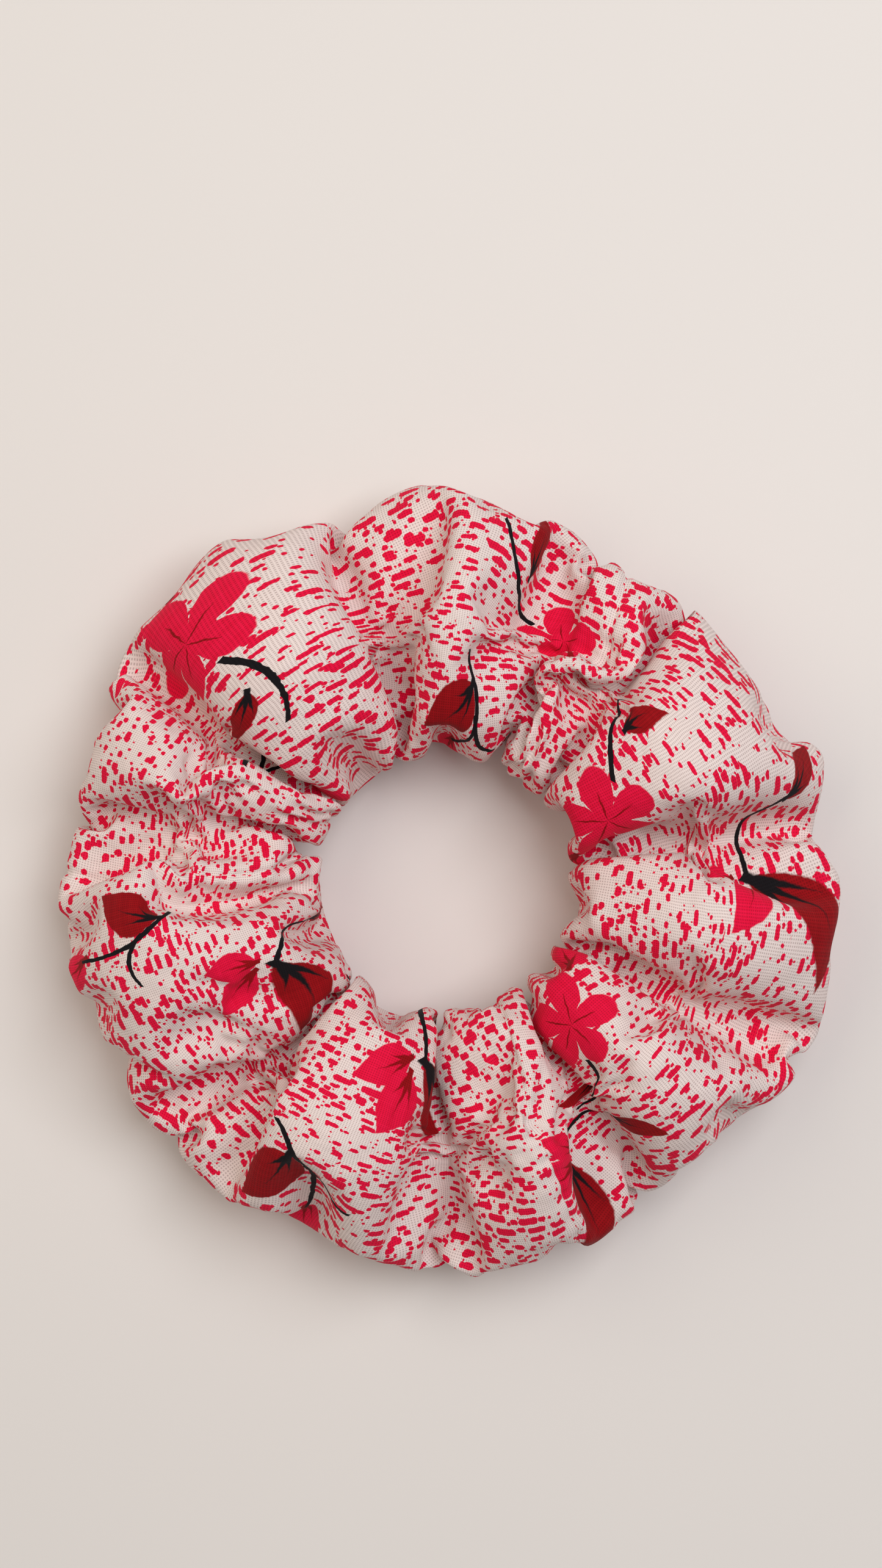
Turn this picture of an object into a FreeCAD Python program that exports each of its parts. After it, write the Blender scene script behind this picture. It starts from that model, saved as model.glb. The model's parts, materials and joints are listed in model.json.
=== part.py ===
import FreeCAD, Part
import math
import os

# A hair scrunchie lying flat: a gathered tube of printed cotton round a loop of flat elastic.
#
# Millimetres, +Z up. The origin is the centre of the hair opening, on the surface that the ring lies on.
# The tube is three cloth panels sewn end to end, with one long side seam low on its outside. Because the
# whole ring stretches, cloth and elastic are divided at nine stretch planes into ten lengths, which slide
# apart along the ring. The chain of bodies starts and ends at the closing seam.

# --- Driving dimensions ---------------------------------------------------------------------------
opening_r = 20.5  # inner wall of the relaxed ring, round the hair
outer_r = 61.0  # outer edge of the puffs
ring_h = 32.0  # top of the puffs above the table
crown_r = 40.0  # radius of the highest line
nose_z = 14.0  # height of the outermost line
flat_in_r = 32.0  # the flat underside runs from this radius ...
flat_out_r = 46.0  # ... to this one
wall_low_z = 8.0  # foot of the straight inner wall
wall_high_z = 22.0  # and its top

cloth_t = 0.8  # the gathered cloth, as a shell
allowance_t = 0.5  # one folded-back seam allowance
allowance_w = 7.0  # width of every seam allowance
elastic_r = 28.4  # inner face of the relaxed elastic loop, inside the tube
elastic_w = 6.0  # flat braided elastic
elastic_t = 1.2
elastic_lap = 12.0  # the elastic's two ends overlap by this much
thread_t = 0.4  # sewing thread
zigzag_pitch = 2.0  # one stitch of the zigzag that joins the elastic

closing_azimuth = 288.0  # the three cross seams, in degrees round the ring
first_azimuth = 418.6
second_azimuth = 540.0
planes_per_panel = 3  # stretch planes in each panel

body_gap = 0.3  # between neighbouring bodies, at the inner wall
panel_gap = 0.1  # between two panels where a seam lies inside one body
fit_gap = 0.05  # round each thread

# --- Derived places -------------------------------------------------------------------------------
elastic_z = (wall_low_z + wall_high_z) / 2
lap_r = elastic_r + elastic_t + fit_gap
groove_w = 2 * thread_t + fit_gap  # free of allowances on each side of a cross seam, for its thread
seam_slope = math.radians(45)  # the side seam is this far below the outermost line
axis_z = FreeCAD.Vector(0, 0, 1)
centre = FreeCAD.Vector(0, 0, 0)


def degrees_along(length, r):
    """The angle that a short length takes up at a radius."""
    return math.degrees(length / r)


def body_middles():
    """The azimuth of each body's middle, from the closing seam round to the closing seam again."""
    seams = [closing_azimuth, first_azimuth, second_azimuth, closing_azimuth + 360]
    middles = []
    for start, end in zip(seams, seams[1:]):
        step = (end - start) / planes_per_panel
        middles += [start + k * step for k in range(planes_per_panel)]
    return middles + [seams[-1]]


def stretch_planes():
    """The azimuth of each plane where two bodies part, halfway between their middles."""
    middles = body_middles()
    return [(a + b) / 2 for a, b in zip(middles, middles[1:])]


# --- Sections, in the RZ plane --------------------------------------------------------------------
def at(r, z):
    return FreeCAD.Vector(r, 0, z)


def quarter(middle_r, middle_z, reach_r, reach_z, start_deg):
    """A quarter of an ellipse, from start_deg on towards the next axis."""
    if reach_r >= reach_z:
        tips = at(middle_r + reach_r, middle_z), at(middle_r, middle_z + reach_z)
    else:
        tips = at(middle_r, middle_z + reach_z), at(middle_r - reach_r, middle_z)
    ellipse = Part.Ellipse(tips[0], tips[1], at(middle_r, middle_z))
    ends = []
    for degrees in (start_deg, start_deg + 90):
        angle = math.radians(degrees)
        end = at(middle_r + reach_r * math.cos(angle), middle_z + reach_z * math.sin(angle))
        ends.append(ellipse.parameter(end))
    first, last = ends
    return ellipse.toShape(first, last if last > first else last + 2 * math.pi)


def section(inset):
    """The tube's outline, this far inside its outer surface: a D with a straight inner wall."""
    inner, outer = opening_r + inset, outer_r - inset
    low, high = inset, ring_h - inset
    edges = [
        Part.makeLine(at(flat_in_r, low), at(flat_out_r, low)),
        quarter(flat_out_r, nose_z, outer - flat_out_r, nose_z - low, 270),
        quarter(crown_r, nose_z, outer - crown_r, high - nose_z, 0),
        quarter(crown_r, wall_high_z, crown_r - inner, high - wall_high_z, 90),
        Part.makeLine(at(inner, wall_high_z), at(inner, wall_low_z)),
        quarter(flat_in_r, wall_low_z, flat_in_r - inner, wall_low_z - low, 180),
    ]
    return Part.Wire(Part.__sortEdges__(edges))


def layer(outer_inset, inner_inset):
    """The face between two outlines: one layer of cloth."""
    return Part.Face(section(outer_inset)).cut(Part.Face(section(inner_inset)))


def box_face(low_r, high_r, low_z, high_z):
    corners = [at(low_r, low_z), at(high_r, low_z), at(high_r, high_z), at(low_r, high_z)]
    return Part.Face(Part.makePolygon(corners + corners[:1]))


def side_point(depth, shift=0.0):
    """A point this deep inside the tube on the side seam's line, moved by shift across that line."""
    outer, drop = outer_r - flat_out_r, nose_z
    r = flat_out_r + outer * math.cos(seam_slope) - depth * math.cos(seam_slope)
    z = nose_z - drop * math.sin(seam_slope) + depth * math.sin(seam_slope)
    return at(r + shift * math.sin(seam_slope), z + shift * math.cos(seam_slope))


def side_allowance_face():
    """Both layers of the side seam's allowance, standing into the tube from the middle of its wall."""
    half = cloth_t / 2
    foot, tip = cloth_t / 2, cloth_t + allowance_w
    corners = [side_point(foot, -half), side_point(tip, -half), side_point(tip, half), side_point(foot, half)]
    return Part.Face(Part.makePolygon(corners + corners[:1]))


# --- Solids ---------------------------------------------------------------------------------------
def sweep(face, start_deg, end_deg):
    """Turns a section about Z, from one azimuth to another."""
    turned = face.copy()
    turned.rotate(centre, axis_z, start_deg)
    return turned.revolve(centre, axis_z, end_deg - start_deg)


def cloth_length(start_deg, end_deg, start_seam, end_seam):
    """One length of a panel. At a cross seam its edge is folded back inside, clear of the thread."""
    shell = sweep(layer(0, cloth_t), start_deg, end_deg)
    groove = degrees_along(groove_w, opening_r)
    folded = degrees_along(allowance_w, crown_r)
    side_start, side_end = start_deg, end_deg
    fold_face = layer(cloth_t / 2, cloth_t + allowance_t)
    folds = []
    if start_seam:
        side_start = start_deg + groove
        folds.append(sweep(fold_face, side_start, side_start + folded))
    if end_seam:
        side_end = end_deg - groove
        folds.append(sweep(fold_face, side_end - folded, side_end))
    side = sweep(side_allowance_face(), side_start, side_end)
    return shell.fuse([side] + folds).removeSplitter()


def ring_length(face, start_deg, end_deg):
    """A length of elastic or thread between two stretch planes."""
    margin = degrees_along(body_gap / 2, opening_r)
    return sweep(face, start_deg + margin, end_deg - margin)


def cross_thread(azimuth, shift):
    """The stitching of a cross seam: a thread all round the tube, just inside its wall."""
    face = layer(cloth_t + fit_gap, cloth_t + fit_gap + thread_t)
    loop = face.extrude(FreeCAD.Vector(0, thread_t, 0))
    loop.translate(FreeCAD.Vector(0, shift - thread_t / 2, 0))
    loop.rotate(centre, axis_z, azimuth)
    return loop


def zigzag(start_deg, end_deg):
    """The zigzag that holds the lapped ends of the elastic, on the outer face of the lap."""
    r = lap_r + elastic_t + fit_gap + thread_t / 2
    length = math.radians(end_deg - start_deg) * r
    count = round(length / zigzag_pitch)
    reach = elastic_w / 2 - thread_t
    corners = []
    for k in range(count + 1):
        azimuth = math.radians(start_deg + k * (end_deg - start_deg) / count)
        z = elastic_z + (reach if k % 2 else -reach)
        corners.append(FreeCAD.Vector(r * math.cos(azimuth), r * math.sin(azimuth), z))
    bars = []
    for a, b in zip(corners, corners[1:]):
        bars.append(Part.makeCylinder(thread_t / 2, a.distanceToPoint(b), a, b - a))
    knots = [Part.makeSphere(thread_t / 2, corner) for corner in corners]
    return bars[0].fuse(bars[1:] + knots)


def save(name, shape):
    solids = shape.Solids
    if not shape.isValid() or len(solids) != 1:
        raise ValueError(f"{name}: {len(solids)} solids, valid {shape.isValid()}")
    solids[0].exportStep(f"parts/{name}.step")
    print(f"{name}: {solids[0].Volume:.1f} mm3")


# --- The pieces -----------------------------------------------------------------------------------
def make_cloth():
    """Each panel is a half length from its seam, two whole ones, and a half length to the next seam."""
    planes = stretch_planes()
    seams = [closing_azimuth, first_azimuth, second_azimuth, closing_azimuth + 360]
    at_plane = degrees_along(body_gap / 2, opening_r)
    for index, panel in enumerate(("panel_a", "panel_b", "panel_c")):
        own = planes[index * planes_per_panel : (index + 1) * planes_per_panel]
        cuts = [seams[index]] + own + [seams[index + 1]]
        for k, (start, end) in enumerate(zip(cuts, cuts[1:])):
            starts, ends = k == 0, k == planes_per_panel
            closes = (starts and index == 0) or (ends and index == 2)
            at_seam = degrees_along((body_gap if closes else panel_gap) / 2, opening_r)
            low = start + (at_seam if starts else at_plane)
            high = end - (at_seam if ends else at_plane)
            save(f"{panel}_length_{k + 1}", cloth_length(low, high, starts, ends))


def make_elastic():
    """The elastic loop, length by length. Its ends lap in the body next to the closing seam."""
    face = box_face(elastic_r, elastic_r + elastic_t, elastic_z - elastic_w / 2, elastic_z + elastic_w / 2)
    outer_face = box_face(lap_r, lap_r + elastic_t, elastic_z - elastic_w / 2, elastic_z + elastic_w / 2)
    step_face = box_face(elastic_r, lap_r + elastic_t, elastic_z - elastic_w / 2, elastic_z + elastic_w / 2)
    cuts = [closing_azimuth] + stretch_planes() + [closing_azimuth + 360]
    margin = degrees_along(body_gap / 2, opening_r)
    lap_deg = degrees_along(elastic_lap, elastic_r)
    lap_body = 1
    for k, (start, end) in enumerate(zip(cuts, cuts[1:])):
        if k != lap_body:
            save(f"elastic_length_{k}", ring_length(face, start, end))
            continue
        lap_start = (start + end - lap_deg) / 2
        lap_end = lap_start + lap_deg
        step_deg = degrees_along(elastic_t, elastic_r)
        save("elastic_end_inner", sweep(face, start + margin, lap_end))
        over = sweep(outer_face, lap_start, lap_end + margin + step_deg)
        step = sweep(step_face, lap_end + margin, lap_end + margin + step_deg)
        rest = sweep(face, lap_end + margin, end - margin)
        save("elastic_end_outer", over.fuse([step, rest]).removeSplitter())
        save("elastic_zigzag", zigzag(lap_start + 1.5 * step_deg, lap_end - 1.5 * step_deg))


def make_threads():
    """The side seam's thread, length by length beside its allowance, and one thread per cross seam."""
    beside = (cloth_t + thread_t) / 2 + fit_gap
    middle = side_point(2 * cloth_t + allowance_t, beside)
    circle = Part.Circle(middle, FreeCAD.Vector(0, 1, 0), thread_t / 2)
    face = Part.Face(Part.Wire(circle.toShape()))
    cuts = [closing_azimuth] + stretch_planes() + [closing_azimuth + 360]
    for k, (start, end) in enumerate(zip(cuts, cuts[1:])):
        save(f"side_thread_{k}", ring_length(face, start, end))
    save("closing_seam_thread", cross_thread(closing_azimuth, body_gap / 2 + thread_t / 2 + fit_gap))
    save("first_seam_thread", cross_thread(first_azimuth, 0))
    save("second_seam_thread", cross_thread(second_azimuth, 0))


os.makedirs("parts", exist_ok=True)
make_cloth()
make_elastic()
make_threads()
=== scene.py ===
import json
import math

import bpy
import numpy as np
from bpy.props import FloatProperty, FloatVectorProperty, IntProperty, PointerProperty
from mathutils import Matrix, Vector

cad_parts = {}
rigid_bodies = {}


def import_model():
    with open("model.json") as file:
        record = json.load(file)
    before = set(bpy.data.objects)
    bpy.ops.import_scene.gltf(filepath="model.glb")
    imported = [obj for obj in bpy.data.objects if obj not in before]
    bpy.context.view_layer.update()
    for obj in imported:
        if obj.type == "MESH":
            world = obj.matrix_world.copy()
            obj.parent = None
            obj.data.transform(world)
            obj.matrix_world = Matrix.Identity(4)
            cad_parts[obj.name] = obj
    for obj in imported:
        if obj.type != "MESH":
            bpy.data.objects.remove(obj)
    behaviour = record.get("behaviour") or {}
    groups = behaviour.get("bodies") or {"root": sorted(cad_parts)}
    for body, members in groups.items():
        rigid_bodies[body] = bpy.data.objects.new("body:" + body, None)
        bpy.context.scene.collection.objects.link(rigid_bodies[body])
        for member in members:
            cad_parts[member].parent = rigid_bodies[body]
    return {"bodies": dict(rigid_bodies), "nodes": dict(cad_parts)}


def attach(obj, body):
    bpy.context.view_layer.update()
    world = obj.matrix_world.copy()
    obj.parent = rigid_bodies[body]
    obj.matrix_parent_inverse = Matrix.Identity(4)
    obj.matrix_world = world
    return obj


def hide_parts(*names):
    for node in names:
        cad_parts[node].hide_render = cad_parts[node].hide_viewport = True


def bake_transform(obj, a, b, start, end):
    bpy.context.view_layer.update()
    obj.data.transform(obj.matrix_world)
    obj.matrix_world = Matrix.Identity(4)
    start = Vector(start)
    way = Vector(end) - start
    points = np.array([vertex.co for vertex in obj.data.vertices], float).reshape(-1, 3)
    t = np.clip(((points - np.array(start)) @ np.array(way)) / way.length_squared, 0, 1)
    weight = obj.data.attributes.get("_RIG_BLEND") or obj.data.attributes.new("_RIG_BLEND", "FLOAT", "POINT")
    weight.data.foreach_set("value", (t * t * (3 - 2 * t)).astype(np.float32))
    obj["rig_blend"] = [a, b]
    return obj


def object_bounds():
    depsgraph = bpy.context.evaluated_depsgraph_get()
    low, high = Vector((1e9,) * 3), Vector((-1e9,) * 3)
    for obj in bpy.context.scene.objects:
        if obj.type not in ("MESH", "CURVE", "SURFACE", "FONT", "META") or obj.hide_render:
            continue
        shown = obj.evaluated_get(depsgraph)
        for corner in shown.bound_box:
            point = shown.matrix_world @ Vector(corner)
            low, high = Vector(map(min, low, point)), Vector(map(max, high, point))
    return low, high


# A hair scrunchie lying flat: a gathered tube of printed plain-weave cotton round a loop of braided elastic.
# Metres, +Z up. The origin is the centre of the hair opening, on the surface that the ring lies on.

bl_info = {
    "name": "Printed Scrunchie",
    "version": (1, 0, 0),
    "blender": (4, 5, 0),
    "location": "3D View > Sidebar > Scrunchie",
    "description": "Gathers a printed cloth tube round an elastic loop, with its seams, stitches and stage",
    "category": "Add Mesh",
}

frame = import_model()
cad_low, cad_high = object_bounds()
MM = 0.001

# --- The ring's plan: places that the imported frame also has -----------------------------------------
SEAM_AZIMUTHS = (288.0, 418.6, 540.0, 648.0)  # closing seam, first, second, closing seam again
PANELS = ("a", "b", "c")
SPANS = 3  # blended pieces in each panel
BODIES = ["closing_start"] + [f"ring_part_{k}" for k in range(1, 9)] + ["closing_end"]
CLOTH_NODES = [
    ("panel_a_length_1",),
    ("panel_a_length_2", "panel_a_length_3"),
    ("panel_a_length_4",),
    ("panel_b_length_1",),
    ("panel_b_length_2", "panel_b_length_3"),
    ("panel_b_length_4",),
    ("panel_c_length_1",),
    ("panel_c_length_2", "panel_c_length_3"),
    ("panel_c_length_4",),
]

# Each fold of the gathers: its azimuth at the hair opening, its azimuth at the rim, and how much cloth,
# for each degree, lies between it and the next. The first and last are the closing seam, not a fold.
FOLDS = (
    (288, 288, 1.0),
    (307, 303, 1.3),
    (330, 333, 1.0),
    (365, 369, 1.0),
    (400, 408, 1.1),
    (426, 424, 1.0),
    (475, 466, 1.2),
    (497, 506, 1.3),
    (525, 530, 0.85),
    (592, 583, 1.1),
    (627, 631, 1.0),
    (648, 648, 1.0),
)

# The ring's outline, seen from above: azimuth in degrees and radius in millimetres.
RIM = (
    (0, 61.5), (18, 59.0), (40, 57.5), (59, 55.0), (72, 57.5), (90, 62.0), (103, 58.5), (120, 61.0),
    (143, 65.5), (150, 59.5), (163, 58.0), (180, 59.0), (210, 59.0), (225, 59.0), (241, 57.0), (254, 59.0),
    (270, 61.5), (284, 61.0), (297, 59.0), (306, 57.0), (319, 58.5), (333, 64.0), (342, 64.0), (350, 62.5),
)

COLUMNS = 190  # simulated points along the tube
ROWS = 46  # and round it; row 0 is the outermost line, and the rows go up over the top
SIM_SCALE = 10.0  # the cloth moves at ten times its size, where the solver's distances suit it
SIDE_SEAM_TURN = 0.875  # place of the side seam round the tube: 45 degrees below the outermost line


def settings():
    return bpy.context.scene.scrunchie_cloth


# --- Small helpers ----------------------------------------------------------------------------------
def select_only(obj):
    """Makes obj the only selected object, and the active one."""
    for other in bpy.context.view_layer.objects:
        other.select_set(False)
    obj.select_set(True)
    bpy.context.view_layer.objects.active = obj


def deselect_all():
    for other in bpy.context.view_layer.objects:
        other.select_set(False)


def apply_modifier(obj, kind, **values):
    """Adds one modifier and applies it."""
    select_only(obj)
    modifier = obj.modifiers.new(kind.title(), kind)
    for name, value in values.items():
        setattr(modifier, name, value)
    bpy.ops.object.modifier_apply(modifier=modifier.name)


def merge_doubles(obj, distance=1e-6):
    select_only(obj)
    bpy.ops.object.mode_set(mode="EDIT")
    bpy.ops.mesh.select_all(action="SELECT")
    bpy.ops.mesh.remove_doubles(threshold=distance)
    bpy.ops.object.mode_set(mode="OBJECT")


def unit(vectors):
    return vectors / np.maximum(np.linalg.norm(vectors, axis=-1, keepdims=True), 1e-12)


def read_points(mesh):
    flat = np.empty(len(mesh.vertices) * 3)
    mesh.vertices.foreach_get("co", flat)
    return flat.reshape(-1, 3)


def write_points(mesh, points):
    mesh.vertices.foreach_set("co", np.asarray(points, np.float32).ravel())
    mesh.update()


def write_attribute(mesh, name, kind, values):
    """Stores one value or vector for each point."""
    attribute = mesh.attributes.new(name, kind, "POINT")
    field = "vector" if kind == "FLOAT_VECTOR" else "value"
    attribute.data.foreach_set(field, np.asarray(values, np.float32).ravel())


def read_attribute(mesh, name, width=1):
    attribute = mesh.attributes[name]
    flat = np.empty(len(mesh.vertices) * width, np.float32)
    attribute.data.foreach_get("vector" if width == 3 else "value", flat)
    return flat.reshape(-1, width) if width > 1 else flat


def smooth_shade(obj):
    obj.data.polygons.foreach_set("use_smooth", [True] * len(obj.data.polygons))


# --- The gathered cloth -----------------------------------------------------------------------------
class Gathers:
    """Where the cloth's length goes round the ring. u runs along the tube from 0 to 1."""

    def __init__(self):
        opening, rim, cloth = (np.array(column, float) for column in zip(*FOLDS))
        steps = np.linspace(SEAM_AZIMUTHS[0], SEAM_AZIMUTHS[-1], 3601)
        gap = np.clip(np.searchsorted(opening, steps, side="right") - 1, 0, len(FOLDS) - 2)
        share = cloth[gap]
        for start, end in zip(SEAM_AZIMUTHS, SEAM_AZIMUTHS[1:]):
            inside = (steps >= start) & (steps < end)
            share[inside] /= share[inside].sum()  # the three panels are equally long
        total = np.concatenate([[0], np.cumsum(share[:-1])])
        self.azimuths, self.amounts = steps, total / total[-1]
        self.opening, self.rim = opening, rim
        self.fold_u = self.u_at(opening)

    def u_at(self, azimuth):
        return np.interp(azimuth, self.azimuths, self.amounts)

    def azimuth_of(self, u, table):
        """The azimuth of the cloth at u, by one of the fold tables, carried past the closing seam."""
        turns = np.floor(u)
        return np.interp(u - turns, self.fold_u, table) + 360 * turns

    def puffs(self, u):
        """The puff's two folds and the share of the way between them, for each u."""
        folds = self.fold_u[1:-1]
        before = np.array([folds[folds <= x].max() if (folds <= x).any() else folds[-1] - 1 for x in u])
        after = np.array([folds[folds > x].min() if (folds > x).any() else folds[0] + 1 for x in u])
        return before, after, (u - before) / (after - before)


def start_and_goal(gathers):
    """The smooth tube that the cloth starts as, and the pinched ring it is drawn towards, in millimetres."""
    cloth = settings()
    u = np.arange(COLUMNS) / COLUMNS
    theta = 2 * math.pi * np.arange(ROWS) / ROWS
    before, after, share = gathers.puffs(u)
    near = np.minimum(share, 1 - share)
    bulge = np.sin(math.pi * share)

    pinch_share, pinch_slot, pinch_depth = 0.3, 0.1, 6.4
    leg = np.clip(near / pinch_share, 0, 1)
    half = np.where(
        near < pinch_share,
        pinch_slot * leg,
        pinch_slot + (0.5 - pinch_slot) * (near - pinch_share) / (0.5 - pinch_share),
    )
    tight = np.where(share < 0.5, half, 1 - half)
    low_in, high_in = (gathers.azimuth_of(x, gathers.opening) for x in (before, after))
    low_out, high_out = (gathers.azimuth_of(x, gathers.rim) for x in (before, after))
    azimuth_in = np.radians(low_in + tight * (high_in - low_in))
    azimuth_out = np.radians(low_out + share * (high_out - low_out))
    opening_r = 20.6 + pinch_depth * (1 - leg)

    tube_r = cloth.length / MM / (2 * math.pi)
    half_wide, half_high = 9.0, cloth.girth / MM * 0.2208  # a tall oval of the tube's own girth
    lift, wave = 26.0, cloth.wave
    over = np.maximum(np.sin(theta), 0)
    r = tube_r + (half_wide + wave * (bulge - 0.5))[:, None] * np.cos(theta)
    z = lift + half_high * np.sin(theta) + wave * (bulge - 0.6)[:, None] * over
    start = np.stack([r * np.cos(azimuth_out)[:, None], r * np.sin(azimuth_out)[:, None], z], -1)
    start += np.random.default_rng(3).normal(0, 0.1, start.shape)

    outward = 0.5 + 0.5 * np.cos(theta)
    azimuth = azimuth_in[:, None] * (1 - outward) + azimuth_out[:, None] * outward
    rim_azimuth, rim_radius = zip(*RIM)
    rim_r = np.interp(np.degrees(azimuth_out), rim_azimuth, rim_radius, period=360)
    r = ((rim_r + opening_r) / 2)[:, None] + ((rim_r - opening_r) / 2)[:, None] * np.cos(theta)
    top, middle = 30.0, 15.0
    crown = top * (0.55 + 0.45 * bulge**0.7) - middle
    z = middle + crown[:, None] * over + (middle - 0.5) * np.minimum(np.sin(theta), 0)
    goal = np.stack([r * np.cos(azimuth), r * np.sin(azimuth), z], -1)
    return start, goal, near, theta


def held_points(near, theta):
    """How firmly each point is drawn to its goal: fully at the elastic, loosely along the rim."""
    free, rim_hold, rim_edge = 0.25, 0.45, 0.55
    hold = np.zeros((COLUMNS, ROWS))
    outward = np.cos(theta)
    hold += np.where(outward > rim_edge, rim_hold * (outward - rim_edge) / (1 - rim_edge), 0)
    at_elastic = np.abs(theta - math.pi) < 0.16
    hold[np.ix_(near < 0.5 - free, at_elastic)] = 1.0
    return hold


def add_obstacle(add, **values):
    """A collision body for the cloth: the table, or the core that keeps the hair opening round."""
    deselect_all()
    add(**values)
    body = bpy.context.object
    body.modifiers.new("Collision", "COLLISION")
    body.collision.thickness_outer = 0.004
    body.collision.cloth_friction = 5
    return body


def moving_elastic(to_sim, gather_frames):
    """The elastic as an obstacle inside the tube: stretched out at first, it shrinks and sinks as it gathers."""
    start_r, rest_r, start_z, rest_z = 64.0, 29.0, 26.0, 15.0
    elastic = add_obstacle(bpy.ops.mesh.primitive_torus_add, major_segments=128, minor_segments=12)
    turn = 2 * math.pi * np.arange(12) / 12
    azimuth = 2 * math.pi * np.arange(128)[:, None] / 128
    r = rest_r + 0.7 * np.cos(turn)
    z = np.broadcast_to(3.3 * np.sin(turn), (128, 12))
    points = np.stack([r * np.cos(azimuth), r * np.sin(azimuth), z], -1)
    write_points(elastic.data, points.reshape(-1, 3) * to_sim)
    for r, z, when in ((start_r, start_z, 1), (rest_r, rest_z, 1 + gather_frames)):
        elastic.scale = (r / rest_r, r / rest_r, 1)
        elastic.location = (0, 0, z * to_sim)
        elastic.keyframe_insert("scale", frame=when)
        elastic.keyframe_insert("location", frame=when)
    return elastic


def simulate(start, goal, hold):
    """Draws the tube together on its elastic and lets it settle on the table. Returns the settled points."""
    cloth = settings()
    to_sim = MM * SIM_SCALE
    gather_frames, soften_frames = 36, 6
    deselect_all()
    bpy.ops.mesh.primitive_torus_add(major_segments=COLUMNS, minor_segments=ROWS)
    tube = bpy.context.object
    write_points(tube.data, start.reshape(-1, 3) * to_sim)
    tube.shape_key_add(name="Tube")
    key = tube.shape_key_add(name="Gathered")
    key.data.foreach_set("co", (goal.reshape(-1, 3) * to_sim).astype(np.float32).ravel())
    group = tube.vertex_groups.new(name="held")
    for weight in np.unique(hold[hold > 0]):
        group.add(np.flatnonzero(hold.ravel() == weight).tolist(), float(weight), "REPLACE")

    elastic = moving_elastic(to_sim, gather_frames)
    table = add_obstacle(bpy.ops.mesh.primitive_plane_add, size=6)
    core = add_obstacle(
        bpy.ops.mesh.primitive_cylinder_add, vertices=96, radius=19.6 * to_sim, depth=1.2, location=(0, 0, 0.3)
    )

    modifier = tube.modifiers.new("Cloth", "CLOTH")
    fabric, contact = modifier.settings, modifier.collision_settings
    fabric.quality = 5
    fabric.mass = 0.3
    fabric.air_damping = 1.0
    fabric.tension_stiffness = fabric.compression_stiffness = 15
    fabric.shear_stiffness = 5
    fabric.bending_stiffness = cloth.bending
    fabric.tension_damping = fabric.compression_damping = fabric.shear_damping = 5
    fabric.bending_damping = 0.5
    fabric.vertex_group_mass = "held"
    fabric.pin_stiffness = 1
    fabric.use_pressure = True
    contact.distance_min = 0.004
    contact.collision_quality = 3
    contact.use_self_collision = True
    contact.self_distance_min = 0.8 * to_sim
    contact.self_friction = 2

    scene = bpy.context.scene
    scene.frame_start, scene.frame_end = 1, cloth.frames
    modifier.point_cache.frame_start, modifier.point_cache.frame_end = 1, cloth.frames
    for value, when in ((0, 1), (1, 1 + gather_frames)):
        key.value = value
        key.keyframe_insert("value", frame=when)
    for value, when in ((cloth.fill_pressure, gather_frames), (cloth.rest_pressure, gather_frames + soften_frames)):
        fabric.uniform_pressure_force = value
        fabric.keyframe_insert("uniform_pressure_force", frame=when)
    for number in range(1, cloth.frames + 1):
        scene.frame_set(number)

    graph = bpy.context.evaluated_depsgraph_get()
    settled = read_points(tube.evaluated_get(graph).to_mesh()) / SIM_SCALE
    for obj in (tube, elastic, table, core):
        bpy.data.objects.remove(obj)
    scene.frame_set(1)
    return settled.reshape(COLUMNS, ROWS, 3)


def finer(grid, through_points):
    """Twice as many points each way: a curve through the points of a closed grid, or one that smooths them."""
    for axis in (0, 1):
        before, after = np.roll(grid, 1, axis), np.roll(grid, -1, axis)
        if through_points:
            even = grid
            odd = (9 * (grid + after) - before - np.roll(grid, -2, axis)) / 16
        else:
            even = (before + 6 * grid + after) / 8
            odd = (grid + after) / 2
        shape = list(grid.shape)
        shape[axis] *= 2
        grid = np.stack([even, odd], axis + 1).reshape(shape)
    return grid


def grid_normals(grid):
    along = np.roll(grid, -1, 0) - np.roll(grid, 1, 0)
    round_tube = np.roll(grid, -1, 1) - np.roll(grid, 1, 1)
    return unit(np.cross(along, round_tube))


def seam_relief(columns, rows):
    """How far seams and their allowances push the cloth in or out, in metres, for each point."""
    cloth = settings()
    s = np.arange(columns) / columns * cloth.length / MM
    t = np.arange(rows) / rows * cloth.girth / MM
    relief = np.zeros((columns, rows))
    for number, depth in enumerate((0.35, 0.55, 0.55)):
        seam = s[-1] * number / len(PANELS) * columns / (columns - 1)
        from_seam = (s - seam + s[-1] / 2) % s[-1] - s[-1] / 2
        groove = -depth * np.exp(-((from_seam / 0.8) ** 2))
        allowance = 0.35 * np.clip(from_seam / 0.8, 0, 1) * np.clip((7.5 - from_seam) / 1.2, 0, 1)
        pucker = np.exp(-np.abs(from_seam) / 3.0)[:, None] * (
            np.sin(2 * math.pi * t / 3.4 + 1.3 * np.sin(2 * math.pi * t / 23 + number))
        )
        relief += (groove + allowance)[:, None] + 0.2 * pucker
    side = SIDE_SEAM_TURN * cloth.girth / MM
    relief += -0.5 * np.exp(-(((t - side) / 0.8) ** 2))
    return relief * MM


def settled_cloth():
    """The cloth's fine grid of points, shape (columns, rows, 3), and its normals."""
    gathers = Gathers()
    start, goal, near, theta = start_and_goal(gathers)
    grid = simulate(start, goal, held_points(near, theta))
    grid = finer(finer(grid, through_points=True), through_points=False)
    normals = grid_normals(grid)
    grid = grid + normals * seam_relief(*grid.shape[:2])[..., None]
    grid[..., 2] = np.maximum(grid[..., 2], 0.0003)
    return gathers, grid, grid_normals(grid)


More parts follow.
